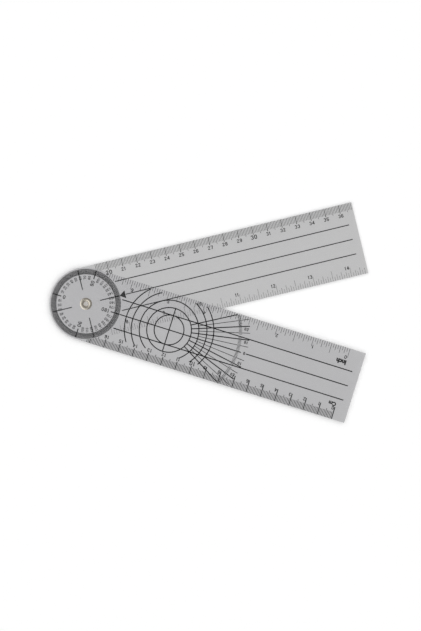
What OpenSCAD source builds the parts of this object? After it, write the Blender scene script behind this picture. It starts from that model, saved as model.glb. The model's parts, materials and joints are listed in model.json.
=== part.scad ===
/* [Arms] */
// Length of each arm, from the pivot to its square end
arm_length = 189; // [150:1:260]
// Width of each arm, which its round end follows
arm_width = 48.8; // [42:0.2:64]
// Thickness of each clear blade
blade_thickness = 1.2; // [0.8:0.1:2.5]
// Angle between the two arms as they lie
open_angle = 31; // [5:1:175]

/* [Rivet] */
// Radius of the hole through the rivet
bore_radius = 1.7; // [1.2:0.1:2.5]
// Wall of the rivet's barrel
barrel_wall = 0.4; // [0.3:0.05:0.8]
// Radius of the rounded ring that is the rivet's head
head_radius = 4.1; // [3.4:0.1:6]
// Height of the rounded ring above the blade
head_height = 0.7; // [0.5:0.05:1]
// Radius of the flange rolled over at the back
roll_radius = 3.4; // [3.3:0.1:6]
// Thickness of the rolled flange
roll_thickness = 0.6; // [0.4:0.05:1]
// Running clearance between the barrel and each blade's hole
pivot_clearance = 0.05; // [0.02:0.01:0.1]
// Thickness of the washer between the blades
spacer_thickness = 0.3; // [0.2:0.05:0.6]
// Thickness of the washer under the rolled flange
back_washer_thickness = 0.3; // [0.2:0.05:0.6]
// Radius of both washers
washer_radius = 3.5; // [3.2:0.1:6]

/* [Rulers] */
// Length of one division of the centimetre scale
millimetre = 1; // [0.8:0.01:1.25]
// Length of one inch of the inch scale
inch = 25.4; // [20:0.1:32]
// Distance from the dial arm's square end to the centimetre zero
cm_zero_inset = 9; // [4:0.5:20]
// Distance from the dial arm's square end to the inch zero
inch_zero_inset = 11; // [4:0.5:20]
// Length of the shortest centimetre tick
mm_tick_length = 4.8; // [3:0.1:5]
// Length of the half centimetre tick
half_cm_tick_length = 5.9; // [4:0.1:7]
// Length of a centimetre tick that has its numeral below it
cm_tick_length = 5.7; // [5:0.1:7.5]
// Length of a centimetre tick that has its numeral beside it
long_cm_tick_length = 8.3; // [7.5:0.1:10]
// Lengths of the inch ticks at sixteenths, eighths, quarters, halves and inches
inch_tick_lengths = [2.8, 4, 5, 7, 6.4];
// Height of the scale numerals
numeral_height = 2.4; // [1.6:0.1:3]
// Height of the bold numeral at each tenth centimetre
bold_numeral_height = 2.9; // [2:0.1:3.4]
// Distance from the ruler's edge to the middle of its numerals
numeral_inset = 7.4; // [7:0.1:10]

/* [Dial] */
// Rim of plain plastic outside the ring of degree ticks
dial_rim = 0.9; // [0.8:0.1:2.5]
// Length of the degree ticks
degree_tick_length = 3.7; // [2:0.1:4.5]
// Height of the small degree numerals
degree_numeral_height = 1.7; // [0.9:0.1:1.8]
// Space between the degree ticks and their numerals
degree_numeral_gap = 0.5; // [0.2:0.05:1]
// Length of the four axis marks
axis_mark_length = 6.1; // [4:0.1:7]
// Height of the large numerals at the axis marks
axis_numeral_height = 2.5; // [1.8:0.1:3.2]

/* [Curve gauge] */
// Distance from the pivot to the gauge's centre
gauge_distance = 58.4; // [50:0.2:75]
// Radii of the gauge's circles
gauge_radii = [10, 15, 20, 25.4, 30];
// Distance of the outer guide lines from the arm's middle
guide_spacing = 10; // [7:0.5:13]
// Distance from the arm's square end to the guide lines
guide_end_inset = 5; // [2:0.5:10]
// Radius at which the fan's lines end
fan_radius = 54.3; // [50:0.1:66]
// Inner radius of the fan's band of degree ticks
fan_band_radius = 46.8; // [40:0.1:58]
// Length of the fan's degree ticks
fan_tick_length = 2.2; // [1.5:0.1:3]
// Height of the numerals at the ends of the fan's lines
fan_numeral_height = 2; // [1.4:0.1:2.6]

/* [Pointer] */
// Distance from the pivot to the arrow's tip
arrow_distance = 23.2; // [20:0.1:32]
// Length of the arrow
arrow_length = 4; // [2:0.1:5]
// Width of the arrow's base
arrow_width = 5.4; // [2:0.1:6]
// Radius at which the crosshair lines start
crosshair_radius = 9.6; // [6:0.1:13]
// Length of the crosshair lines
crosshair_length = 13.3; // [8:0.1:14]

/* [Print] */
// Thickness of the printed layer
ink_thickness = 0.05; // [0.02:0.01:0.08]
// Least space left between two printed shapes
print_gap = 0.25; // [0.1:0.05:0.5]
// Width of the ticks on the dial arm
dial_arm_tick_width = 0.38; // [0.15:0.01:0.45]
// Width of the finer ticks on the pointer arm
pointer_arm_tick_width = 0.25; // [0.15:0.01:0.45]
// How much wider the ticks at whole centimetres are drawn
whole_tick_share = 1.8; // [1:0.05:2.2]
// How much finer the inch ticks are drawn
inch_tick_share = 0.7; // [0.5:0.05:1]
// Width of the one degree ticks
degree_tick_width = 0.27; // [0.1:0.01:0.28]
// Width of the fan's degree ticks
fan_tick_width = 0.33; // [0.1:0.01:0.4]
// Width of the dial arm's drawn lines
line_width = 0.7; // [0.3:0.02:0.9]
// Width of the fan's lines at odd multiples of five degrees
minor_line_width = 0.4; // [0.2:0.02:0.6]
// Width of the pointer arm's lines
fine_line_width = 0.64; // [0.2:0.02:0.8]
// Stroke of the scale numerals
numeral_stroke = 0.46; // [0.2:0.02:0.5]
// Stroke of the bold numerals
bold_stroke = 0.56; // [0.3:0.02:0.7]
// Stroke of the small degree numerals
degree_numeral_stroke = 0.32; // [0.12:0.02:0.34]

/* [Hidden] */
$fn = 96;

// Clear plastic, ink, brass and nylon
clear_plastic = [0.74, 0.76, 0.78, 0.6];
ink = [0.07, 0.07, 0.08];
brass = [0.86, 0.79, 0.62];
nylon = [0.9, 0.89, 0.85];

// The stack from the rolled flange, which lies on the table, up to the blade under the rounded head
pointer_blade_z = roll_thickness + back_washer_thickness;
spacer_z = pointer_blade_z + blade_thickness;
dial_blade_z = spacer_z + spacer_thickness;
head_z = dial_blade_z + blade_thickness;
barrel_radius = bore_radius + barrel_wall;
hole_radius = barrel_radius + pivot_clearance;

// The ruler's edges and where its scales stop short of the pivot
half_width = arm_width / 2;
cm_origin = cm_zero_inset - arm_length;
inch_origin = inch_zero_inset - arm_length;
dial_radius = half_width - dial_rim;
dial_scale_stop = 8;
pointer_scale_start = 11.5;
scale_end_inset = 0.6;
first_low_numeral = 10;
numeral_side_gap = 0.5;
inch_numeral_inset = 6.4;
centimetre = 10 * millimetre;
parts_per_inch = 16;
sixteenth = inch / parts_per_inch;

// The dial's rings, from the ticks inwards
degree_tick_radius = dial_radius - degree_tick_length;
degree_numeral_radius = degree_tick_radius - degree_numeral_gap;
axis_mark_radius = dial_radius - axis_mark_length;
axis_numeral_gap = 1.3;

// The gauge's field, from the centimetre numerals down to near the inch edge
gauge_edge_inset = 1.9;
field_top = half_width - numeral_inset - numeral_height / 4;
field_bottom = -half_width + gauge_edge_inset;
gauge_middle_radius = gauge_radii[1];
gauge_cross_overhang = 0.3;
guide_stop = 22.4;
fan_step = 5;
fan_reach = 30;
fan_edge_inset = 0.8;
fan_tick_edge_inset = 0.3;
fan_band_end = fan_band_radius + fan_tick_length;
fan_tick_reach = floor(asin(min(1, (half_width - fan_tick_edge_inset) / fan_band_end)));
fan_numeral_gap = 1.5;

// How the numerals are drawn, as shares of their height or width
digit_width_share = 0.64;
one_width_share = 0.4;
digit_gap_share = 0.17;
corner_share = 0.45;
corner_steps = 3;
flag_share = 0.24;
flag_reach_share = 0.42;
notch_low_share = 0.27;
notch_high_share = 0.73;
five_bowl_share = 0.62;
six_bowl_share = 0.6;
stem_share = 0.6;
crossbar_share = 0.22;
foot_share = 0.26;
slant_share = 1.15;

function digit_count(n) = n >= 100 ? 3 : n >= 10 ? 2 : 1;
function digit_at(n, i) = floor(n / pow(10, digit_count(n) - 1 - i)) % 10;
function digit_width(d, h) = h * (d == 1 ? one_width_share : digit_width_share);

// Width of a number's first few digits, with the gap after each
function digits_reach(n, count, h) =
    count == 0 ? 0
    : digits_reach(n, count - 1, h) + digit_width(digit_at(n, count - 1), h) + h * digit_gap_share;
function number_width(n, h) = digits_reach(n, digit_count(n), h) - h * digit_gap_share;

function arc(x, y, r, from) =
    [for (i = [0 : corner_steps])
        let (a = from + 90 * i / corner_steps)
        [x + r * cos(a), y + r * sin(a)]];

function rounded(x, y, w, h, r) = concat(
    arc(x + w - r, y + r, r, -90), arc(x + w - r, y + h - r, r, 0),
    arc(x + r, y + h - r, r, 90), arc(x + r, y + r, r, 180));

// A closed loop with round corners, as in 0 and 8
module bowl(y, w, h, s) {
    r = min(w, h) * corner_share;
    difference() {
        polygon(rounded(0, y, w, h, r));
        polygon(rounded(s, y + s, w - 2 * s, h - 2 * s, max(r - s, s * corner_share / 2)));
    }
}

module one(w, h, s) {
    middle = w / 2;
    polygon([
        [middle - s / 2, 0], [middle + s / 2, 0], [middle + s / 2, h], [middle - s / 2, h],
        [middle - w * flag_reach_share, h - h * flag_share],
        [middle - w * flag_reach_share, h - h * flag_share - s], [middle - s / 2, h - s * slant_share]
    ]);
}

module two(w, h, s) {
    shoulder = h - w / 2;
    intersection() {
        bowl(h - w, w, w, s);
        translate([0, shoulder]) square([w, w / 2]);
    }
    polygon([[0, 0], [w, 0], [w, s], [s * slant_share, s], [w, shoulder], [w - s, shoulder], [0, s]]);
}

module three(w, h, s) {
    difference() {
        eight(w, h, s);
        translate([0, h * notch_low_share]) square([w / 2, h * (notch_high_share - notch_low_share)]);
    }
}

module four(w, h, s) {
    stem = w * stem_share;
    bar = h * crossbar_share;
    rise = h - bar - s;
    counter = max(stem - s * slant_share, s * corner_share);
    difference() {
        polygon([
            [stem, 0], [stem + s, 0], [stem + s, bar], [w, bar], [w, bar + s], [stem + s, bar + s],
            [stem + s, h], [stem, h], [0, bar + s], [0, bar], [stem, bar]
        ]);
        polygon([[stem, bar + s], [stem, bar + s + counter * rise / stem], [stem - counter, bar + s]]);
    }
}

module five(w, h, s) {
    top = h * five_bowl_share;
    difference() {
        bowl(0, w, top, s);
        translate([0, h * notch_low_share]) square([w / 2, top - s - h * notch_low_share]);
    }
    translate([0, top - s]) square([s, h - top + s]);
    translate([0, h - s]) square([w, s]);
}

module six(w, h, s) {
    bowl(0, w, h * six_bowl_share, s);
    difference() {
        bowl(0, w, h, s);
        translate([w / 2, h * notch_low_share]) square([w, h * (notch_high_share - notch_low_share)]);
    }
}

module seven(w, h, s) {
    polygon([
        [0, h - s], [w - s * slant_share, h - s], [w * foot_share, 0],
        [w * foot_share + s * slant_share, 0], [w, h - s], [w, h], [0, h]
    ]);
}

module eight(w, h, s) {
    bowl(0, w, (h + s) / 2, s);
    bowl((h - s) / 2, w, (h + s) / 2, s);
}

module digit(d, h, s) {
    w = digit_width(d, h);
    if (d == 0) bowl(0, w, h, s);
    if (d == 1) one(w, h, s);
    if (d == 2) two(w, h, s);
    if (d == 3) three(w, h, s);
    if (d == 4) four(w, h, s);
    if (d == 5) five(w, h, s);
    if (d == 6) six(w, h, s);
    if (d == 7) seven(w, h, s);
    if (d == 8) eight(w, h, s);
    if (d == 9) translate([w, h]) rotate(180) six(w, h, s);
}

// A whole number, centred on the origin
module number(n, h, s) {
    for (i = [0 : digit_count(n) - 1])
        translate([digits_reach(n, i, h) - number_width(n, h) / 2, -h / 2])
            digit(digit_at(n, i), h, s);
}

// A straight printed line from one distance to another along its own direction
module ray(from, to, width) {
    translate([from, -width / 2]) square([to - from, width]);
}

module ring(r, width) {
    difference() {
        circle(r = r + width / 2);
        circle(r = r - width / 2);
    }
}

// Printed layers on the upper face and the underside of each arm
module print_on_dial_arm() {
    color(ink) translate([0, 0, head_z]) linear_extrude(ink_thickness) children();
}

module print_under_dial_arm() {
    color(ink) translate([0, 0, dial_blade_z - ink_thickness]) linear_extrude(ink_thickness) children();
}

module place_pointer_arm() {
    rotate([0, 0, open_angle - 180]) children();
}

module print_on_pointer_arm() {
    place_pointer_arm() color(ink) translate([0, 0, spacer_z]) linear_extrude(ink_thickness) children();
}

// One blade: a straight arm with a round end about the pivot's hole, lying towards +X
module blade(z) {
    color(clear_plastic) translate([0, 0, z]) linear_extrude(blade_thickness) difference() {
        union() {
            translate([0, -half_width]) square([arm_length, arm_width]);
            circle(r = half_width);
        }
        circle(r = hole_radius);
    }
}

function cm_tick(i) =
    i % 5 > 0 ? mm_tick_length
    : i % 10 > 0 ? half_cm_tick_length
    : i / 10 < first_low_numeral ? long_cm_tick_length : cm_tick_length;

function inch_tick(k) =
    inch_tick_lengths[k % 2 > 0 ? 0 : k % 4 > 0 ? 1 : k % 8 > 0 ? 2 : k % 16 > 0 ? 3 : 4];

// How far from the arm's middle a tick may reach before it meets the dial
function dial_edge(x) = abs(x) < dial_radius ? sqrt(dial_radius * dial_radius - x * x) + print_gap : 0;

module edge_tick(x, length, width) {
    foot = max(half_width - length, dial_edge(x));
    translate([x - width / 2, foot]) square([width, half_width - foot]);
}

module cm_ticks(from, to, width) {
    for (i = [max(0, ceil((from - cm_origin) / millimetre)) : floor((to - cm_origin) / millimetre)])
        edge_tick(cm_origin + i * millimetre, cm_tick(i), i % 10 > 0 ? width : width * whole_tick_share);
}

module inch_ticks(from, to, width) {
    first = max(0, ceil((from - inch_origin) / sixteenth));
    mirror([0, 1]) for (k = [first : floor((to - inch_origin) / sixteenth)])
        edge_tick(inch_origin + k * sixteenth, inch_tick(k), width * inch_tick_share);
}

module cm_numeral(n) {
    x = cm_origin + n * centimetre;
    bold = n > 0 && n % 10 == 0;
    side = n < first_low_numeral ? numeral_side_gap + number_width(n, numeral_height) / 2 : 0;
    translate([x + side, half_width - numeral_inset])
        number(n, bold ? bold_numeral_height : numeral_height, bold ? bold_stroke : numeral_stroke);
}

module cm_numerals(from, to) {
    for (n = [max(0, ceil((from - cm_origin) / centimetre)) : floor((to - cm_origin) / centimetre)])
        cm_numeral(n);
}

// Each inch numeral stands beside its tick, on the side of the zero, and the zero itself inside the scale
module inch_numerals(from, to) {
    for (n = [max(0, ceil((from - inch_origin) / inch)) : floor((to - inch_origin) / inch)]) {
        side = n > 0 ? -1 : 1;
        x = inch_origin + n * inch + side * (numeral_side_gap + number_width(n, numeral_height) / 2);
        translate([x, -half_width + inch_numeral_inset]) number(n, numeral_height, numeral_stroke);
    }
}

// The scales keep clear of the square ends and of the dial, where their numerals would meet it
scale_end = arm_length - scale_end_inset;
numeral_stop = -dial_radius * cos(45);
numeral_end = arm_length - number_width(10, numeral_height);

module dial_arm_blade() {
    mirror([1, 0, 0]) blade(dial_blade_z);
}

module dial_arm_cm_ticks() {
    print_on_dial_arm() cm_ticks(-scale_end, -dial_scale_stop, dial_arm_tick_width);
}

module dial_arm_cm_numerals() {
    print_on_dial_arm() cm_numerals(-numeral_end, numeral_stop);
}

module dial_arm_inch_ticks() {
    print_on_dial_arm() inch_ticks(-scale_end, -dial_scale_stop, dial_arm_tick_width);
}

module dial_arm_inch_numerals() {
    print_on_dial_arm() inch_numerals(-numeral_end, numeral_stop);
}

module dial_degree_ticks() {
    print_on_dial_arm() for (a = [0 : 359])
        rotate(a) ray(degree_tick_radius, dial_radius, degree_tick_width);
}

// Numerals along the radius, from 0 on the far side to 180 towards the arm, in both halves
module dial_degree_numerals() {
    print_on_dial_arm() for (side = [-1, 1], a = [10 : 10 : 170])
        if (a != 90)
            rotate(side * a)
                translate([degree_numeral_radius - number_width(100, degree_numeral_height) / 2, 0])
                    rotate(a > 90 ? 180 : 0)
                        number(a, degree_numeral_height, degree_numeral_stroke);
}

module dial_axis_marks() {
    reach = axis_mark_radius - axis_numeral_gap;
    print_under_dial_arm() {
        for (a = [0 : 90 : 270])
            rotate(a) ray(axis_mark_radius, dial_radius, line_width);
        for (side = [-1, 1])
            rotate(side * 90) translate([reach - number_width(90, axis_numeral_height) / 2, 0])
                number(90, axis_numeral_height, numeral_stroke);
        translate([reach - number_width(0, axis_numeral_height) / 2, 0])
            number(0, axis_numeral_height, numeral_stroke);
        translate([number_width(180, axis_numeral_height) / 2 - reach, 0])
            number(180, axis_numeral_height, numeral_stroke);
    }
}

// The fan's numerals all end at one radius, and the middle line breaks for the width of two digits
fan_numeral_start = fan_band_end + fan_numeral_gap;
fan_numeral_end = fan_numeral_start + number_width(20, fan_numeral_height);

module guide_lines() {
    ray(guide_end_inset - arm_length, -gauge_distance - fan_numeral_end - numeral_side_gap, line_width);
    ray(-gauge_distance - fan_numeral_start, -dial_radius - print_gap, line_width);
    for (side = [-1, 1])
        translate([0, side * guide_spacing]) ray(guide_end_inset - arm_length, -guide_stop, line_width);
}

// The gauge's circles, cut off where the centimetre numerals begin and near the inch edge
module gauge_circles() {
    widest = max(gauge_radii) + line_width;
    cross_reach = gauge_middle_radius + gauge_cross_overhang;
    intersection() {
        for (r = gauge_radii) ring(r, line_width);
        translate([-widest, field_bottom]) square([2 * widest, field_top - field_bottom]);
    }
    rotate(90) ray(-cross_reach, cross_reach, line_width);
}

// Lines at tens of degrees start at the gauge's second circle, and those between them at its third
module fan_lines() {
    for (side = [-1, 1], a = [fan_step : fan_step : fan_reach]) {
        major = a % (2 * fan_step) == 0;
        end = min(fan_radius, (half_width - fan_edge_inset) / sin(a));
        rotate(180 + side * a)
            ray(major ? gauge_middle_radius : gauge_radii[2], end, major ? line_width : minor_line_width);
    }
}

module curve_gauge_lines() {
    print_under_dial_arm() {
        guide_lines();
        translate([-gauge_distance, 0]) {
            gauge_circles();
            fan_lines();
        }
    }
}

// The fan's ticks fill the blade to its edge, and one is left out where it would meet an outer guide line
guide_reach = (line_width + fan_tick_width) / 2 + print_gap / 2;
function meets_guide(a) =
    fan_band_radius * sin(a) < guide_spacing + guide_reach
    && fan_band_end * sin(a) > guide_spacing - guide_reach;

module fan_degree_ticks() {
    print_under_dial_arm() translate([-gauge_distance, 0])
        for (side = [-1, 1], a = [1 : fan_tick_reach])
            if (a % fan_step > 0 && !meets_guide(a))
                rotate(180 + side * a) ray(fan_band_radius, fan_band_end, fan_tick_width);
}

// Each numeral lies just inside its line, clear of it by its own size
module fan_numerals() {
    print_under_dial_arm() translate([-gauge_distance, 0]) {
        translate([number_width(0, fan_numeral_height) / 2 - fan_numeral_end, 0])
            number(0, fan_numeral_height, numeral_stroke);
        for (side = [-1, 1], a = [10, 20]) {
            half_number = number_width(a, fan_numeral_height) / 2;
            along = fan_numeral_end - half_number;
            clear = line_width / 2 + print_gap + fan_numeral_height / 2 * cos(a) + half_number * sin(a);
            translate([-along * cos(a) - clear * sin(a), side * (along * sin(a) - clear * cos(a))])
                number(a, fan_numeral_height, numeral_stroke);
        }
    }
}

module pointer_arm_blade() {
    place_pointer_arm() blade(pointer_blade_z);
}

module pointer_arm_cm_ticks() {
    print_on_pointer_arm() cm_ticks(pointer_scale_start, scale_end, pointer_arm_tick_width);
}

module pointer_arm_cm_numerals() {
    print_on_pointer_arm() cm_numerals(-numeral_stop, numeral_end);
}

module pointer_arm_inch_ticks() {
    print_on_pointer_arm() inch_ticks(pointer_scale_start, scale_end, pointer_arm_tick_width);
}

module pointer_arm_inch_numerals() {
    print_on_pointer_arm() inch_numerals(-numeral_stop, numeral_end);
}

module pointer_arm_guide_lines() {
    end = arm_length - guide_end_inset;
    print_on_pointer_arm() {
        ray(arrow_distance + arrow_length + print_gap, end, fine_line_width);
        for (side = [-1, 1])
            translate([0, side * guide_spacing]) ray(guide_stop, end, fine_line_width);
    }
}

module pointer_arrow() {
    base = arrow_distance + arrow_length;
    half_base = arrow_width / 2;
    print_on_pointer_arm() polygon([[arrow_distance, 0], [base, -half_base], [base, half_base]]);
}

module crosshair_lines() {
    print_on_pointer_arm() for (a = [0 : 90 : 270])
        rotate(a) ray(crosshair_radius, crosshair_radius + crosshair_length, fine_line_width);
}

// The hollow rivet: a plain barrel with a rounded ring for its head and a rolled flange at the bottom
module eyelet() {
    roll_round = roll_thickness / 2;
    half_ring = (head_radius - bore_radius) / 2;
    crown_radius = (half_ring * half_ring + head_height * head_height) / (2 * head_height);
    color(brass) rotate_extrude() {
        translate([bore_radius, 0]) square([barrel_wall, head_z]);
        translate([bore_radius, 0]) square([roll_radius - roll_round - bore_radius, roll_thickness]);
        translate([roll_radius - roll_round, roll_round]) circle(r = roll_round);
        intersection() {
            translate([bore_radius + half_ring, head_z + head_height - crown_radius])
                circle(r = crown_radius);
            translate([bore_radius, head_z]) square([2 * half_ring, head_height]);
        }
    }
}

module washer(z, thickness) {
    color(nylon) translate([0, 0, z]) linear_extrude(thickness) difference() {
        circle(r = washer_radius);
        circle(r = hole_radius);
    }
}

module spacer_washer() {
    washer(spacer_z, spacer_thickness);
}

module back_washer() {
    washer(roll_thickness, back_washer_thickness);
}

dial_arm_blade();
dial_arm_cm_ticks();
dial_arm_cm_numerals();
dial_arm_inch_ticks();
dial_arm_inch_numerals();
dial_degree_ticks();
dial_degree_numerals();
dial_axis_marks();
curve_gauge_lines();
fan_degree_ticks();
fan_numerals();
pointer_arm_blade();
pointer_arm_cm_ticks();
pointer_arm_cm_numerals();
pointer_arm_inch_ticks();
pointer_arm_inch_numerals();
pointer_arm_guide_lines();
pointer_arrow();
crosshair_lines();
eyelet();
spacer_washer();
back_washer();
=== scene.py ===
"""A clear angle finder: two ruled arms that turn on a hollow rivet, on a plain white table."""
import json
import math

import bpy
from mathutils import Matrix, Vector


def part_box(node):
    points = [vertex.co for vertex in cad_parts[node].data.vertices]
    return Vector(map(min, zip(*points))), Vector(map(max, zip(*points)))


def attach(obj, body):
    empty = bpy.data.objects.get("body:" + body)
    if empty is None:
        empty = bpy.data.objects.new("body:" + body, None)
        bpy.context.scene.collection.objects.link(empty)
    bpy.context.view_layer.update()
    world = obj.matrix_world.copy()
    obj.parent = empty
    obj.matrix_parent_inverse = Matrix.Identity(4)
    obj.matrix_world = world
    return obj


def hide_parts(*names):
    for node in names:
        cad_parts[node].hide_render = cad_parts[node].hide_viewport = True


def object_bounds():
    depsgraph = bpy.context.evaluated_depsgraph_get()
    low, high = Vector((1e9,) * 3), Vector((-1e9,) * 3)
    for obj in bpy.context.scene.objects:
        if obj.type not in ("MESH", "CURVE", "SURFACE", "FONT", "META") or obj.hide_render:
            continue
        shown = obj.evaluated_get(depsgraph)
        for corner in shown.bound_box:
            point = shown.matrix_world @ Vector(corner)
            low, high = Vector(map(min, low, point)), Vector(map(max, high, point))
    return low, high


bl_info = {
    "name": "Clear angle finder",
    "version": (1, 0, 0),
    "blender": (4, 5, 0),
    "location": "3D View > Sidebar > Angle finder",
    "description": "Clear blades, printed scales, hollow rivet and washers of a two-armed angle finder",
    "category": "Add Mesh",
}

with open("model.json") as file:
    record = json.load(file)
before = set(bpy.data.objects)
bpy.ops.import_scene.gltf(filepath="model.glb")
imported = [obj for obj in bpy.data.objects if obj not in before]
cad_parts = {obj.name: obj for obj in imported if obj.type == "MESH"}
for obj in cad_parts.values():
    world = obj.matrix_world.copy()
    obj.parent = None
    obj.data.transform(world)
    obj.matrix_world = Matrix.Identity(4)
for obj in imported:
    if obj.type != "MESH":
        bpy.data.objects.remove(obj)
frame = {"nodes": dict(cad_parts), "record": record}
CAD_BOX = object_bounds()
MM = 0.001

# Small lengths of the rivet and its hole
BARREL_WALL = 0.4 * MM
HOLE_CLEARANCE = 0.05 * MM
ROLL_MARGIN = 0.1 * MM
RIM_STEPS = 3
TURNED_SMOOTH = math.radians(40)

# Sizes of the patterns in the materials, and the distances from the bore within which the painted shade of
# the throat darkens the brass fully and past which it has faded out
FULL_SHADE_REACH = 0.1 * MM
SHADE_FADE_REACH = 0.7 * MM
BRASS_GRAIN = 0.5 * MM
NYLON_CLOUDS = 0.8 * MM
TABLE_SPECKLE = 3 * MM
BUMP_DEPTH = 0.01 * MM

# Finishes: refraction, how colour and roughness change in a pattern's patches, and the spread of roughness
ACRYLIC_IOR = 1.49
PALER_PLASTIC = 1.006
ROUGHER_SCUFFS = 3
THINNER_INK = 2.2
DARKER_NYLON = 0.93
DARKER_TABLE = 0.995
INK_ROUGHNESS = (0.45, 0.62)
BRASS_ROUGHNESS = (0.17, 0.3)
NYLON_ROUGHNESS = (0.38, 0.5)

# Points closer than this are welded into one
WELD = MM / 1e4

# How many times as far as the tool the camera can see
CLIP_REACH = 10

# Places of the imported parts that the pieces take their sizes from
BLADE_LOW, BLADE_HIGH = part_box("dial_arm_blade")
POINTER_LOW, POINTER_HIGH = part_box("pointer_arm_blade")
EYELET_LOW, EYELET_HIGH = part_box("eyelet")
SPACER_LOW, SPACER_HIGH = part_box("spacer_washer")
BACK_LOW, BACK_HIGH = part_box("back_washer")
INK_LOW, INK_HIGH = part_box("dial_arm_cm_ticks")
EYELET_BORE = next(mount for mount in frame["record"]["mounts"] if mount["name"] == "eyelet_bore")
BORE_RADIUS = EYELET_BORE["dims"]["r_mm"] * MM
ARM_LENGTH = -BLADE_LOW.x
HALF_WIDTH = BLADE_HIGH.y

# How near a face or edge of a blade has to be to a plane, and how squarely a face has to look its way
NEAR = HALF_WIDTH / 100
SQUARELY = 0.9

DIAL_ARM_PRINTS = (
    "dial_arm_cm_ticks", "dial_arm_cm_numerals", "dial_arm_inch_ticks", "dial_arm_inch_numerals",
    "dial_degree_ticks", "dial_degree_numerals", "dial_axis_marks", "curve_gauge_lines",
    "fan_degree_ticks", "fan_numerals",
)
POINTER_ARM_PRINTS = (
    "pointer_arm_cm_ticks", "pointer_arm_cm_numerals", "pointer_arm_inch_ticks",
    "pointer_arm_inch_numerals", "pointer_arm_guide_lines", "pointer_arrow", "crosshair_lines",
)


def pointer_arm_angle():
    """Angle between the arms at rest, from how far the pointer arm's far corner reaches along -Y."""
    corner_distance = math.hypot(ARM_LENGTH, HALF_WIDTH)
    return math.asin(-POINTER_LOW.y / corner_distance) - math.atan2(HALF_WIDTH, ARM_LENGTH)


class BladeSettings(bpy.types.PropertyGroup):
    edge_bevel: bpy.props.FloatProperty(
        name="Edge bevel", description="Width of the polished bevel round each blade",
        default=0.12 * MM, min=0.0, unit="LENGTH")
    corner_radius: bpy.props.FloatProperty(
        name="Corner radius", description="Radius of the two corners of a square end",
        default=0.3 * MM, min=0.0, unit="LENGTH")
    hole_radius: bpy.props.FloatProperty(
        name="Hole radius", description="Radius of the hole for the rivet's barrel",
        default=BORE_RADIUS + BARREL_WALL + HOLE_CLEARANCE, min=0.0, unit="LENGTH")
    outline_steps: bpy.props.IntProperty(
        name="Outline steps", description="Facets of a full circle of the round end", default=256, min=32)
    dial_arm_tint: bpy.props.FloatVectorProperty(
        name="Dial arm tint",
        description="Colour that the dial arm's blade gives to what lies under it",
        default=(0.905, 0.902, 0.917), subtype="COLOR", min=0.0, max=1.0)
    pointer_arm_tint: bpy.props.FloatVectorProperty(
        name="Pointer arm tint",
        description="Colour that the pointer arm's blade gives to what lies under it",
        default=(0.995, 0.992, 1.0), subtype="COLOR", min=0.0, max=1.0)
    roughness: bpy.props.FloatProperty(
        name="Roughness", description="Least roughness of the polished faces",
        default=0.03, min=0.0, max=1.0, subtype="FACTOR")
    scuff_size: bpy.props.FloatProperty(
        name="Scuff size", description="Size of the faint handling marks",
        default=9 * MM, unit="LENGTH")


class PrintSettings(bpy.types.PropertyGroup):
    dial_arm_ink: bpy.props.FloatVectorProperty(
        name="Dial arm ink", description="Colour of the print on the dial arm",
        default=(0.012, 0.012, 0.013), subtype="COLOR", min=0.0, max=1.0)
    pointer_arm_ink: bpy.props.FloatVectorProperty(
        name="Pointer arm ink", description="Colour of the finer print on the pointer arm",
        default=(0.016, 0.016, 0.017), subtype="COLOR", min=0.0, max=1.0)
    grain_size: bpy.props.FloatProperty(
        name="Grain size", description="Size of the uneven spots in the ink",
        default=0.35 * MM, unit="LENGTH")
    cm_mark_size: bpy.props.FloatProperty(
        name="Centimetre mark size", description="Size of the letters of the centimetre scale's unit mark",
        default=3.5 * MM, unit="LENGTH")
    inch_mark_size: bpy.props.FloatProperty(
        name="Inch mark size", description="Size of the letters of the inch scale's unit mark",
        default=4.1 * MM, unit="LENGTH")
    cm_mark_weight: bpy.props.FloatProperty(
        name="Centimetre mark weight",
        description="How much heavier the centimetre mark's strokes are than the plain letters'",
        default=0.2 * MM, unit="LENGTH")
    inch_mark_weight: bpy.props.FloatProperty(
        name="Inch mark weight",
        description="How much heavier the inch mark's strokes are than the plain letters'",
        default=0.26 * MM, unit="LENGTH")
    cm_mark_place: bpy.props.FloatVectorProperty(
        name="Centimetre mark", description="Middle of the centimetre scale's unit mark",
        default=(-177.5 * MM, 14.2 * MM), size=2, unit="LENGTH")
    inch_mark_place: bpy.props.FloatVectorProperty(
        name="Inch mark", description="Middle of the inch scale's unit mark",
        default=(-174.8 * MM, -14.5 * MM), size=2, unit="LENGTH")


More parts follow.
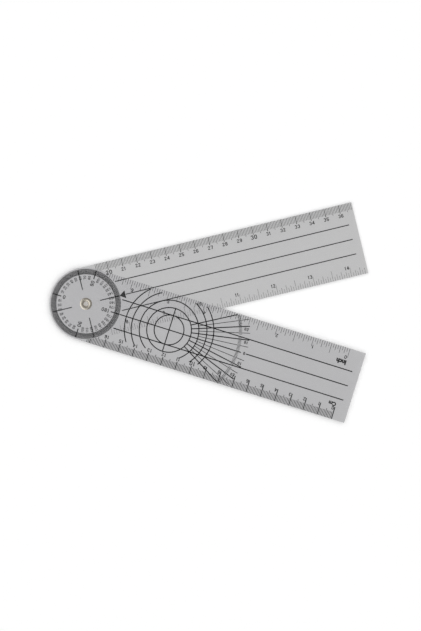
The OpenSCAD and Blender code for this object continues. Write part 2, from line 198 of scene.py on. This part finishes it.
class RivetSettings(bpy.types.PropertyGroup):
    barrel_wall: bpy.props.FloatProperty(
        name="Barrel wall", description="Wall of the rivet's barrel", default=BARREL_WALL, unit="LENGTH")
    rim_round: bpy.props.FloatProperty(
        name="Rim round", description="Radius of the edge where the rounded head meets the blade",
        default=0.1 * MM, unit="LENGTH")
    throat_depth: bpy.props.FloatProperty(
        name="Throat depth", description="How far the funnel reaches below the crest",
        default=1.0 * MM, unit="LENGTH")
    roll_thickness: bpy.props.FloatProperty(
        name="Roll thickness", description="Thickness of the flange rolled over at the back",
        default=0.6 * MM, unit="LENGTH")
    turn_steps: bpy.props.IntProperty(
        name="Turn steps", description="Facets of a full turn", default=96, min=24)
    curve_steps: bpy.props.IntProperty(
        name="Curve steps", description="Facets of each rounded stretch of a profile", default=10, min=2)
    brass: bpy.props.FloatVectorProperty(
        name="Brass", description="Colour of the polished pale brass",
        default=(0.68, 0.635, 0.55), subtype="COLOR", min=0.0, max=1.0)
    # Painted shade: a darker brass colour painted into the bore's throat where it lies in shade
    throat_shade_brass: bpy.props.FloatVectorProperty(
        name="Painted throat shade", description="Colour of the brass inside the bore",
        default=(0.6, 0.53, 0.42), subtype="COLOR", min=0.0, max=1.0)
    nylon: bpy.props.FloatVectorProperty(
        name="Nylon", description="Colour of the washers", default=(0.83, 0.82, 0.78),
        subtype="COLOR", min=0.0, max=1.0)
    washer_edge: bpy.props.FloatProperty(
        name="Washer edge", description="Radius of the washers' rounded edges",
        default=0.1 * MM, unit="LENGTH")


class StageSettings(bpy.types.PropertyGroup):
    pixels_per_mm: bpy.props.FloatProperty(
        name="Pixels per mm", description="Scale of the photograph", default=1.492)
    image_width: bpy.props.IntProperty(
        name="Image width", description="Width of the photograph", default=421, subtype="PIXEL")
    image_height: bpy.props.IntProperty(
        name="Image height", description="Height of the photograph", default=631, subtype="PIXEL")
    pivot_across: bpy.props.FloatProperty(
        name="Pivot across", description="Pivot's distance from the photograph's left side",
        default=85.9, subtype="PIXEL")
    pivot_down: bpy.props.FloatProperty(
        name="Pivot down", description="Pivot's distance from the photograph's top",
        default=303.85, subtype="PIXEL")
    dial_arm_slope: bpy.props.FloatProperty(
        name="Dial arm slope", description="How far the dial arm points below the photograph's right",
        default=math.radians(17.4), subtype="ANGLE")
    lens: bpy.props.FloatProperty(
        name="Lens", description="Focal length of the distant camera, in millimetres",
        default=200.0, unit="CAMERA")
    floor_size: bpy.props.FloatProperty(
        name="Floor size", description="Side of the white table", default=6.0, unit="LENGTH")
    floor_colour: bpy.props.FloatVectorProperty(
        name="Floor colour", description="Colour of the white table",
        default=(0.98, 0.98, 0.98), subtype="COLOR", min=0.0, max=1.0)
    # Painted shade: glossy and transmission rays see the table as a plain grey glow, standing in for its
    # shade under the clear blades
    plastic_shade_share: bpy.props.FloatProperty(
        name="Painted shade share",
        description="How much of the table seen in clear plastic and metal is a plain tone",
        default=0.9, min=0.0, max=1.0, subtype="FACTOR")
    plastic_shade_tone: bpy.props.FloatProperty(
        name="Painted shade tone", description="Plain tone of the table that clear plastic and metal show",
        default=0.555, min=0.0, max=1.0, subtype="FACTOR")
    key_light: bpy.props.FloatProperty(
        name="Key light", description="Share of white that the hard light from above gives",
        default=0.1, min=0.0, max=1.0, subtype="FACTOR")
    key_tilt: bpy.props.FloatProperty(
        name="Key tilt", description="Tilt of the hard light", default=math.radians(3), subtype="ANGLE")
    overhead_bright: bpy.props.FloatProperty(
        name="Overhead bright", description="Strength of the studio straight above", default=1.82)
    overhead_dim: bpy.props.FloatProperty(
        name="Overhead dim", description="Strength of the studio towards the horizon", default=0.1)
    overhead_edge: bpy.props.FloatProperty(
        name="Overhead edge", description="Cosine of the tilt past which the studio is dim", default=0.4)
    mirrored_side: bpy.props.FloatProperty(
        name="Mirrored side",
        description="Bright side in the metal's mirror, turning left from the picture's right",
        default=math.radians(205), subtype="ANGLE")
    mirrored_tilt: bpy.props.FloatProperty(
        name="Mirrored tilt", description="Tilt of the brightest part that the metal mirrors",
        default=math.radians(80), subtype="ANGLE")
    mirrored_bright: bpy.props.FloatProperty(
        name="Mirrored bright", description="Strength of the bright side that the metal mirrors",
        default=1.3)
    mirrored_dim: bpy.props.FloatProperty(
        name="Mirrored dim", description="Strength of the other side that the metal mirrors",
        default=0.3)
    mirrored_inner: bpy.props.FloatProperty(
        name="Mirrored inner",
        description="Cosine of the angle within which the mirrored side is brightest",
        default=0.75)
    mirrored_outer: bpy.props.FloatProperty(
        name="Mirrored outer",
        description="Cosine of the angle past which the mirrored side is dim",
        default=0.12)


SETTINGS = {
    "angle_finder_blades": BladeSettings,
    "angle_finder_print": PrintSettings,
    "angle_finder_rivet": RivetSettings,
    "angle_finder_stage": StageSettings,
}


def deselect_all():
    """Leaves nothing selected, so that the next operator acts on its own piece alone."""
    for chosen in list(bpy.context.selected_objects):
        chosen.select_set(False)


def edit_mode():
    """Goes into edit mode on the active piece."""
    bpy.ops.object.mode_set(mode="EDIT")


def object_mode():
    """Goes back to object mode, where a piece's mesh can be read."""
    bpy.ops.object.mode_set(mode="OBJECT")


def select_faces(piece, wanted):
    """Selects the faces whose middle and normal satisfy wanted, and goes back to edit mode on them."""
    edit_mode()
    bpy.ops.mesh.select_mode(type="FACE")
    bpy.ops.mesh.select_all(action="DESELECT")
    object_mode()
    chosen = [face for face in piece.data.polygons if wanted(face.center, face.normal)]
    if not chosen:
        raise RuntimeError(f"{piece.name} has no such face")
    for face in chosen:
        face.select = True
    edit_mode()


def select_edges(piece, wanted):
    """Selects the edges whose two ends satisfy wanted, and goes back to edit mode on them."""
    edit_mode()
    bpy.ops.mesh.select_mode(type="EDGE")
    bpy.ops.mesh.select_all(action="DESELECT")
    object_mode()
    points = piece.data.vertices
    chosen = [edge for edge in piece.data.edges if wanted(*(points[i].co for i in edge.vertices))]
    if not chosen:
        raise RuntimeError(f"{piece.name} has no such edge")
    for edge in chosen:
        edge.select = True
    edit_mode()


def finish_piece(piece, body, slot, material, *nodes, smooth=math.radians(20)):
    """Puts the piece's place into its mesh, gives it its finish and ties it to its body."""
    deselect_all()
    piece.select_set(True)
    bpy.context.view_layer.objects.active = piece
    bpy.ops.object.transform_apply(location=True, rotation=True, scale=True)
    bpy.ops.object.shade_smooth_by_angle(angle=smooth)
    piece.data.materials.clear()
    piece.data.materials.append(material)
    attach(piece, body)
    if nodes:
        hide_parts(*nodes)
    piece.select_set(False)


def new_material(name):
    """A node material, with its node tree, its shader and its texture coordinates."""
    material = bpy.data.materials.new(name)
    material.use_nodes = True
    tree = material.node_tree
    return material, tree, tree.nodes["Principled BSDF"], tree.nodes.new("ShaderNodeTexCoord")


def noise(tree, place, size, detail=3.0, roughness=0.55, stretch=None):
    """Noise with spots of the given size, drawn out along an axis if stretch is given."""
    texture = tree.nodes.new("ShaderNodeTexNoise")
    texture.inputs["Scale"].default_value = 1 / size
    texture.inputs["Detail"].default_value = detail
    texture.inputs["Roughness"].default_value = roughness
    source = place.outputs["Object"]
    if stretch:
        mapping = tree.nodes.new("ShaderNodeMapping")
        mapping.inputs["Scale"].default_value = stretch
        tree.links.new(source, mapping.inputs["Vector"])
        source = mapping.outputs["Vector"]
    tree.links.new(source, texture.inputs["Vector"])
    return texture.outputs["Fac"]


def remap(tree, value, low, high, start=0.3, stop=0.7):
    """The value, spread from low at start to high at stop."""
    node = tree.nodes.new("ShaderNodeMapRange")
    for name, number in (("From Min", start), ("From Max", stop), ("To Min", low), ("To Max", high)):
        node.inputs[name].default_value = number
    tree.links.new(value, node.inputs["Value"])
    return node.outputs["Result"]


def blend_colours(tree, factor, first, second):
    """A colour between first and second, by factor."""
    node = tree.nodes.new("ShaderNodeMix")
    node.data_type = "RGBA"
    colour_inputs = [socket for socket in node.inputs if socket.type == "RGBA"]
    for socket, colour in zip(colour_inputs, (first, second)):
        socket.default_value = (*colour, 1.0)
    tree.links.new(factor, node.inputs["Factor"])
    return next(socket for socket in node.outputs if socket.type == "RGBA")


def add_bump(tree, shader, height, strength):
    """Makes the shader's surface faintly uneven by a height."""
    bump = tree.nodes.new("ShaderNodeBump")
    bump.inputs["Distance"].default_value = BUMP_DEPTH
    bump.inputs["Strength"].default_value = strength
    tree.links.new(height, bump.inputs["Height"])
    tree.links.new(bump.outputs["Normal"], shader.inputs["Normal"])


def clear_plastic(name, tint):
    """Polished clear plastic with a faint tint and faint handling marks along the blade."""
    blades = bpy.context.scene.angle_finder_blades
    material, tree, shader, place = new_material(name)
    shader.inputs["IOR"].default_value = ACRYLIC_IOR
    shader.inputs["Transmission Weight"].default_value = 1.0
    clouds = noise(tree, place, blades.scuff_size, detail=2.0)
    paler = tuple(min(1.0, PALER_PLASTIC * channel) for channel in tint)
    colour = blend_colours(tree, remap(tree, clouds, 0.0, 1.0), tint, paler)
    tree.links.new(colour, shader.inputs["Base Color"])
    marks = noise(tree, place, blades.scuff_size, detail=6.0, roughness=0.7, stretch=(0.15, 6.0, 1.0))
    roughest = ROUGHER_SCUFFS * blades.roughness
    roughness = remap(tree, marks, blades.roughness, roughest, start=0.55, stop=0.85)
    tree.links.new(roughness, shader.inputs["Roughness"])
    add_bump(tree, shader, clouds, strength=0.3)
    return material


def printed_ink(name, colour):
    """Screen-printed ink: matt, a little thinner in spots."""
    settings = bpy.context.scene.angle_finder_print
    material, tree, shader, place = new_material(name)
    shader.inputs["Specular IOR Level"].default_value = 0.3
    spots = noise(tree, place, settings.grain_size, detail=4.0)
    thinner = tuple(THINNER_INK * channel for channel in colour)
    share = remap(tree, spots, 0.0, 1.0, start=0.5, stop=0.8)
    shade = blend_colours(tree, share, colour, thinner)
    tree.links.new(shade, shader.inputs["Base Color"])
    tree.links.new(remap(tree, spots, *INK_ROUGHNESS), shader.inputs["Roughness"])
    add_bump(tree, shader, spots, strength=0.4)
    return material


def pale_brass():
    """Pale polished brass, with its colour darkened inside the bore by a painted shade of the throat."""
    rivet = bpy.context.scene.angle_finder_rivet
    material, tree, shader, place = new_material("pale brass")
    shader.inputs["Metallic"].default_value = 1.0
    split = tree.nodes.new("ShaderNodeSeparateXYZ")
    tree.links.new(place.outputs["Object"], split.inputs["Vector"])
    radius = tree.nodes.new("ShaderNodeVectorMath")
    radius.operation = "LENGTH"
    flat = tree.nodes.new("ShaderNodeCombineXYZ")
    tree.links.new(split.outputs["X"], flat.inputs["X"])
    tree.links.new(split.outputs["Y"], flat.inputs["Y"])
    tree.links.new(flat.outputs["Vector"], radius.inputs[0])
    # Painted shade: the colour darkens towards the bore where the throat is shaded; polished is the share
    # of plain brass colour
    polished = remap(
        tree, radius.outputs["Value"], 0.0, 1.0,
        start=BORE_RADIUS + FULL_SHADE_REACH, stop=BORE_RADIUS + SHADE_FADE_REACH)
    colour = blend_colours(tree, polished, tuple(rivet.throat_shade_brass), tuple(rivet.brass))
    tree.links.new(colour, shader.inputs["Base Color"])
    grain = noise(tree, place, BRASS_GRAIN, detail=5.0)
    tree.links.new(remap(tree, grain, *BRASS_ROUGHNESS), shader.inputs["Roughness"])
    add_bump(tree, shader, grain, strength=0.5)
    return material


def natural_nylon():
    """Milky nylon of the washers."""
    rivet = bpy.context.scene.angle_finder_rivet
    material, tree, shader, place = new_material("natural nylon")
    cloud = noise(tree, place, NYLON_CLOUDS)
    darker = tuple(DARKER_NYLON * channel for channel in rivet.nylon)
    colour = blend_colours(tree, remap(tree, cloud, 0.0, 1.0), darker, tuple(rivet.nylon))
    tree.links.new(colour, shader.inputs["Base Color"])
    tree.links.new(remap(tree, cloud, *NYLON_ROUGHNESS), shader.inputs["Roughness"])
    add_bump(tree, shader, cloud, strength=0.3)
    return material


def shared_material(name, make, *arguments):
    """The material of that name, made the first time it is asked for."""
    return bpy.data.materials.get(name) or make(*arguments)


def add_blade(name, low, high):
    """A clear blade along -X from the pivot, between two heights, with a round end and a hole."""
    blades = bpy.context.scene.angle_finder_blades
    middle = (low + high) / 2
    deselect_all()
    bpy.ops.mesh.primitive_cylinder_add(
        vertices=blades.outline_steps, radius=HALF_WIDTH, depth=high - low, location=(0, 0, middle))
    blade = bpy.context.object
    blade.name = blade.data.name = name
    bpy.ops.object.transform_apply(location=True, rotation=True, scale=True)
    edit_mode()
    bpy.ops.mesh.select_all(action="SELECT")
    bpy.ops.mesh.bisect(plane_co=(0, 0, 0), plane_no=(-1, 0, 0), clear_outer=True, use_fill=True)
    select_faces(blade, lambda centre, normal: normal.x < -SQUARELY and abs(centre.x) < NEAR)
    bpy.ops.mesh.extrude_region_move(TRANSFORM_OT_translate={"value": (-ARM_LENGTH, 0, 0)})
    far = -ARM_LENGTH + NEAR
    select_edges(blade, lambda a, b: max(a.x, b.x) < far and abs(a.y - b.y) < NEAR)
    bpy.ops.mesh.bevel(offset=blades.corner_radius, segments=4, affect="EDGES")
    bpy.ops.mesh.select_all(action="SELECT")
    bpy.ops.mesh.remove_doubles(threshold=WELD)
    bpy.ops.mesh.normals_make_consistent(inside=False)
    object_mode()
    drill_blade(blade, middle, 2 * (high - low))
    bevel = blade.modifiers.new("polished edge", "BEVEL")
    bevel.width = blades.edge_bevel
    bevel.segments = 2
    bevel.limit_method = "ANGLE"
    bevel.angle_limit = math.radians(60)
    bpy.ops.object.modifier_apply(modifier=bevel.name)
    return blade


def drill_blade(blade, middle, depth):
    """Cuts the hole for the rivet's barrel."""
    blades = bpy.context.scene.angle_finder_blades
    deselect_all()
    bpy.ops.mesh.primitive_cylinder_add(
        vertices=blades.outline_steps // 2, radius=blades.hole_radius, depth=depth,
        location=(0, 0, middle))
    drill = bpy.context.object
    drill.select_set(False)
    blade.select_set(True)
    bpy.context.view_layer.objects.active = blade
    cut = blade.modifiers.new("rivet hole", "BOOLEAN")
    cut.operation = "DIFFERENCE"
    cut.solver = "EXACT"
    cut.object = drill
    bpy.ops.object.modifier_apply(modifier=cut.name)
    bpy.data.objects.remove(drill, do_unlink=True)


def arc(centre_r, centre_z, reach_r, reach_z, start, stop, steps):
    """Points (radius, height) of an ellipse's arc, from one angle in degrees to another."""
    angles = [math.radians(start + (stop - start) * i / steps) for i in range(steps + 1)]
    return [(centre_r + reach_r * math.cos(a), centre_z + reach_z * math.sin(a)) for a in angles]


def turn_profile(name, profile, steps):
    """A ring from a closed profile: one vertex is extruded along it and the wire is spun about Z."""
    deselect_all()
    bpy.ops.mesh.primitive_plane_add(size=MM, location=(0, 0, 0))
    ring = bpy.context.object
    ring.name = ring.data.name = name
    edit_mode()
    bpy.ops.mesh.select_mode(type="VERT")
    bpy.ops.mesh.select_all(action="SELECT")
    bpy.ops.mesh.merge(type="CENTER")
    place = Vector((profile[0][0], 0, profile[0][1]))
    bpy.ops.transform.translate(value=place)
    for radius, height in profile[1:] + profile[:1]:
        target = Vector((radius, 0, height))
        bpy.ops.mesh.extrude_region_move(TRANSFORM_OT_translate={"value": target - place})
        place = target
    bpy.ops.mesh.select_all(action="SELECT")
    bpy.ops.mesh.remove_doubles(threshold=WELD)
    bpy.ops.mesh.select_all(action="SELECT")
    bpy.ops.mesh.spin(steps=steps, angle=math.tau, center=(0, 0, 0), axis=(0, 0, 1))
    bpy.ops.mesh.select_all(action="SELECT")
    bpy.ops.mesh.remove_doubles(threshold=WELD)
    bpy.ops.mesh.normals_make_consistent(inside=False)
    object_mode()
    return ring


def eyelet_profile():
    """The eyelet's wall: rolled flange, barrel, and a domed ring that falls into a funnel."""
    rivet = bpy.context.scene.angle_finder_rivet
    steps = rivet.curve_steps
    bottom, top = EYELET_LOW.z, EYELET_HIGH.z
    head_radius = EYELET_HIGH.x
    head_under = BLADE_HIGH.z
    crest = (head_radius + BORE_RADIUS) / 2
    rim = rivet.rim_round
    roll = rivet.roll_thickness
    roll_radius = BACK_HIGH.x - ROLL_MARGIN
    flare = roll / 2
    profile = arc(BORE_RADIUS + flare, bottom + flare, flare, flare, 180, 270, steps)
    profile += arc(roll_radius - flare, bottom + flare, flare, flare, -90, 90, steps)
    profile += [(BORE_RADIUS + rivet.barrel_wall, bottom + roll)]
    profile += [(BORE_RADIUS + rivet.barrel_wall, head_under)]
    profile += arc(head_radius - rim, head_under + rim, rim, rim, -90, 0, RIM_STEPS)
    dome_height = top - head_under - rim
    profile += arc(crest, head_under + rim, head_radius - crest, dome_height, 0, 90, steps)[1:]
    throat = rivet.throat_depth
    profile += arc(crest, top - throat, BORE_RADIUS - crest, throat, 90, 0, steps)[1:]
    return profile


def washer_profile(low, high):
    """A washer's section, with rounded edges."""
    rivet = bpy.context.scene.angle_finder_rivet
    edge = rivet.washer_edge
    inner = bpy.context.scene.angle_finder_blades.hole_radius
    steps = rivet.curve_steps // 3
    corners = (
        (inner + edge, low.z + edge, 180), (high.x - edge, low.z + edge, 270),
        (high.x - edge, high.z - edge, 0), (inner + edge, high.z - edge, 90),
    )
    profile = []
    for r, z, start in corners:
        profile += arc(r, z, edge, edge, start, start + 90, steps)
    return profile


class ANGLEFINDER_OT_blades(bpy.types.Operator):
    """Adds the two clear blades, each about the pivot and at its own height"""
    bl_idname = "angle_finder.blades"
    bl_label = "Add clear blades"

    def execute(self, context):
        blades = context.scene.angle_finder_blades
        for arm, low, high, turn, tint in (
            ("dial_arm", BLADE_LOW.z, BLADE_HIGH.z, 0.0, blades.dial_arm_tint),
            ("pointer_arm", POINTER_LOW.z, POINTER_HIGH.z, pointer_arm_angle(), blades.pointer_arm_tint),
        ):
            blade = add_blade(f"{arm}_plate", low, high)
            blade.rotation_euler.z = turn
            plastic = clear_plastic(f"{arm.replace('_', ' ')} plastic", tuple(tint))
            finish_piece(blade, arm, "clear_plastic", plastic, f"{arm}_blade")
        return {"FINISHED"}


class ANGLEFINDER_OT_prints(bpy.types.Operator):
    """Inks the printed scales, dial, gauge and fan of both arms"""
    bl_idname = "angle_finder.prints"
    bl_label = "Ink the printed scales"

    def execute(self, context):
        settings = context.scene.angle_finder_print
        for name, colour, nodes in (
            ("dial arm ink", settings.dial_arm_ink, DIAL_ARM_PRINTS),
            ("pointer arm ink", settings.pointer_arm_ink, POINTER_ARM_PRINTS),
        ):
            ink = shared_material(name, printed_ink, name, tuple(colour))
            for node in nodes:
                print_layer = frame["nodes"][node]
                print_layer.data.materials.clear()
                print_layer.data.materials.append(ink)
        return {"FINISHED"}


class ANGLEFINDER_OT_unit_marks(bpy.types.Operator):
    """Adds the plain unit marks beside the zeros of the dial arm's scales"""
    bl_idname = "angle_finder.unit_marks"
    bl_label = "Add unit marks"

    def execute(self, context):
        settings = context.scene.angle_finder_print
        ink = bpy.data.materials["dial arm ink"]
        for words, place, size, weight in (
            ("Cm", settings.cm_mark_place, settings.cm_mark_size, settings.cm_mark_weight),
            ("Inch", settings.inch_mark_place, settings.inch_mark_size, settings.inch_mark_weight),
        ):
            deselect_all()
            bpy.ops.object.text_add(location=(place[0], place[1], INK_LOW.z))
            mark = context.object
            mark.name = f"unit_mark_{words.lower()}"
            mark.data.body = words
            mark.data.size = size
            mark.data.offset = weight
            mark.data.align_x = "CENTER"
            mark.data.align_y = "CENTER"
            mark.data.extrude = (INK_HIGH.z - INK_LOW.z) / 2
            mark.location.z += mark.data.extrude
            bpy.ops.object.convert(target="MESH")
            mark = context.object
            finish_piece(mark, "dial_arm", "dial_arm_ink", ink)
        return {"FINISHED"}


class ANGLEFINDER_OT_rivet(bpy.types.Operator):
    """Adds the hollow rivet and the two washers that it clamps"""
    bl_idname = "angle_finder.rivet"
    bl_label = "Add rivet and washers"

    def execute(self, context):
        rivet = context.scene.angle_finder_rivet
        brass = shared_material("pale brass", pale_brass)
        nylon = shared_material("natural nylon", natural_nylon)
        eyelet = turn_profile("brass_eyelet", eyelet_profile(), rivet.turn_steps)
        finish_piece(eyelet, "dial_arm", "rivet_brass", brass, "eyelet", smooth=TURNED_SMOOTH)
        for name, low, high, node in (
            ("nylon_spacer", SPACER_LOW, SPACER_HIGH, "spacer_washer"),
            ("nylon_back_washer", BACK_LOW, BACK_HIGH, "back_washer"),
        ):
            washer = turn_profile(name, washer_profile(low, high), rivet.turn_steps)
            finish_piece(washer, "dial_arm", "washer_nylon", nylon, node, smooth=TURNED_SMOOTH)
        return {"FINISHED"}


class ANGLEFINDER_OT_stage(bpy.types.Operator):
    """Sets the white table, the lights, the surroundings and the camera above the tool"""
    bl_idname = "angle_finder.stage"
    bl_label = "Set the stage"

    def execute(self, context):
        add_floor(context.scene.angle_finder_stage)
        add_lights(context.scene.angle_finder_stage)
        add_camera(context.scene.angle_finder_stage)
        context.scene.view_settings.view_transform = "Standard"
        return {"FINISHED"}


def add_floor(stage):
    """The white table under the tool, which shows a painted shade through clear plastic and metal."""
    deselect_all()
    bpy.ops.mesh.primitive_plane_add(size=stage.floor_size, location=(0, 0, CAD_BOX[0].z))
    floor = bpy.context.object
    floor.name = "white_table"
    material, tree, shader, place = new_material("white table")
    speckle = noise(tree, place, TABLE_SPECKLE)
    darker = tuple(DARKER_TABLE * channel for channel in stage.floor_colour)
    colour = blend_colours(tree, remap(tree, speckle, 0.0, 1.0), darker, tuple(stage.floor_colour))
    tree.links.new(colour, shader.inputs["Base Color"])
    shader.inputs["Roughness"].default_value = 1.0
    shader.inputs["Specular IOR Level"].default_value = 0.0
    paint_shade_in_plastic(tree, shader, stage)
    floor.data.materials.append(material)
    floor.select_set(False)


def paint_shade_in_plastic(tree, shader, stage):
    """Rays from metal and clear plastic meet mostly a plain grey glow, a painted shade that stands in for
    the table shaded under the blades, and a little of the lit table.
    """
    rays = tree.nodes.new("ShaderNodeLightPath")
    met = tree.nodes.new("ShaderNodeMath")
    met.operation = "MAXIMUM"
    tree.links.new(rays.outputs["Is Glossy Ray"], met.inputs[0])
    tree.links.new(rays.outputs["Is Transmission Ray"], met.inputs[1])
    # Painted shade: a grey emission in place of the table lying in the blades' shadow
    table = tree.nodes.new("ShaderNodeEmission")
    table.inputs["Strength"].default_value = stage.plastic_shade_tone
    blend = tree.nodes.new("ShaderNodeMixShader")
    share = remap(tree, met.outputs["Value"], 0.0, stage.plastic_shade_share, start=0.0, stop=1.0)
    tree.links.new(share, blend.inputs["Fac"])
    tree.links.new(shader.outputs["BSDF"], blend.inputs[1])
    tree.links.new(table.outputs["Emission"], blend.inputs[2])
    tree.links.new(blend.outputs["Shader"], tree.nodes["Material Output"].inputs["Surface"])


def image_direction(stage, angle):
    """Direction in the row frame's plane of an angle in the photograph, from its right, turning left."""
    turn = math.pi + stage.dial_arm_slope + angle
    return Vector((math.cos(turn), math.sin(turn), 0))


def tilted(side, angle):
    """Direction that leans from straight up towards one side, by an angle."""
    return side * math.sin(angle) + Vector((0, 0, math.cos(angle)))


def add_key_light(stage, side):
    """A weak hard light that matt surfaces take, unseen in reflections and through the plastic."""
    deselect_all()
    bpy.ops.object.light_add(type="SUN", location=(0, 0, 1))
    lamp = bpy.context.object
    lamp.name = "key_light"
    lamp.rotation_mode = "QUATERNION"
    lamp.rotation_quaternion = tilted(side, stage.key_tilt).to_track_quat("Z", "Y")
    lamp.data.angle = 0.0
    lamp.data.energy = math.pi * stage.key_light / math.cos(stage.key_tilt)
    lamp.visible_glossy = False
    lamp.visible_transmission = False
    lamp.select_set(False)


def glow(tree, place, towards, dim, bright, start, stop):
    """Strength that rises from dim to bright as a ray turns to one direction, between two cosines."""
    along = tree.nodes.new("ShaderNodeVectorMath")
    along.operation = "DOT_PRODUCT"
    along.inputs[1].default_value = towards
    tree.links.new(place.outputs["Generated"], along.inputs[0])
    return remap(tree, along.outputs["Value"], dim, bright, start=start, stop=stop)


def add_lights(stage):
    """A hard light and a pale studio overhead, and the brighter side that metal and gloss mirror."""
    side = image_direction(stage, stage.mirrored_side)
    add_key_light(stage, side)
    world = bpy.data.worlds.new("pale studio")
    world.use_nodes = True
    tree = world.node_tree
    place = tree.nodes.new("ShaderNodeTexCoord")
    overhead = glow(
        tree, place, (0, 0, 1), stage.overhead_dim, stage.overhead_bright, stage.overhead_edge, 1.0)
    mirrored = glow(
        tree, place, tilted(side, stage.mirrored_tilt), stage.mirrored_dim, stage.mirrored_bright,
        stage.mirrored_outer, stage.mirrored_inner)
    rays = tree.nodes.new("ShaderNodeLightPath")
    lit = tree.nodes.new("ShaderNodeMix")
    tree.links.new(rays.outputs["Is Glossy Ray"], lit.inputs["Factor"])
    tree.links.new(overhead, lit.inputs["A"])
    tree.links.new(mirrored, lit.inputs["B"])
    strength = tree.nodes.new("ShaderNodeMix")
    strength.inputs["B"].default_value = 1.0
    tree.links.new(rays.outputs["Is Camera Ray"], strength.inputs["Factor"])
    tree.links.new(lit.outputs["Result"], strength.inputs["A"])
    background = tree.nodes["Background"]
    background.inputs["Color"].default_value = (1, 1, 1, 1)
    tree.links.new(strength.outputs["Result"], background.inputs["Strength"])
    bpy.context.scene.world = world


def add_camera(stage):
    """A distant camera straight above, framed so that the pivot falls on its pixel."""
    right = image_direction(stage, 0)
    up = image_direction(stage, math.pi / 2)
    pixel = MM / stage.pixels_per_mm
    across = (stage.image_width / 2 - stage.pivot_across) * pixel
    below = (stage.image_height / 2 - stage.pivot_down) * pixel
    data = bpy.data.cameras.new("camera")
    camera = bpy.data.objects.new("camera", data)
    bpy.context.scene.collection.objects.link(camera)
    data.lens = stage.lens
    distance = stage.image_height * pixel * data.lens / data.sensor_width
    camera.location = right * across - up * below + Vector((0, 0, BLADE_HIGH.z + distance))
    camera.rotation_euler = (0, 0, math.atan2(right.y, right.x))
    data.clip_end = CLIP_REACH * distance
    bpy.context.scene.camera = camera


class ANGLEFINDER_PT_panel(bpy.types.Panel):
    """Lists the steps that build the angle finder"""
    bl_idname = "ANGLEFINDER_PT_panel"
    bl_label = "Angle finder"
    bl_space_type = "VIEW_3D"
    bl_region_type = "UI"
    bl_category = "Angle finder"

    def draw(self, context):
        for step in STEPS:
            self.layout.operator(step.bl_idname)
        for name, group in SETTINGS.items():
            box = self.layout.box()
            for setting in group.__annotations__:
                box.prop(getattr(context.scene, name), setting)


STEPS = (
    ANGLEFINDER_OT_blades, ANGLEFINDER_OT_prints, ANGLEFINDER_OT_unit_marks, ANGLEFINDER_OT_rivet,
    ANGLEFINDER_OT_stage,
)
CLASSES = (*SETTINGS.values(), *STEPS, ANGLEFINDER_PT_panel)


def register():
    """Adds the settings, the steps and the panel to Blender."""
    for cls in CLASSES:
        bpy.utils.register_class(cls)
    for name, group in SETTINGS.items():
        setattr(bpy.types.Scene, name, bpy.props.PointerProperty(type=group))


def unregister():
    """Takes them out again."""
    for name in SETTINGS:
        delattr(bpy.types.Scene, name)
    for cls in reversed(CLASSES):
        bpy.utils.unregister_class(cls)


def main():
    register()
    bpy.ops.angle_finder.blades()
    bpy.ops.angle_finder.prints()
    bpy.ops.angle_finder.unit_marks()
    bpy.ops.angle_finder.rivet()
    bpy.ops.angle_finder.stage()


if __name__ == "__main__":
    main()
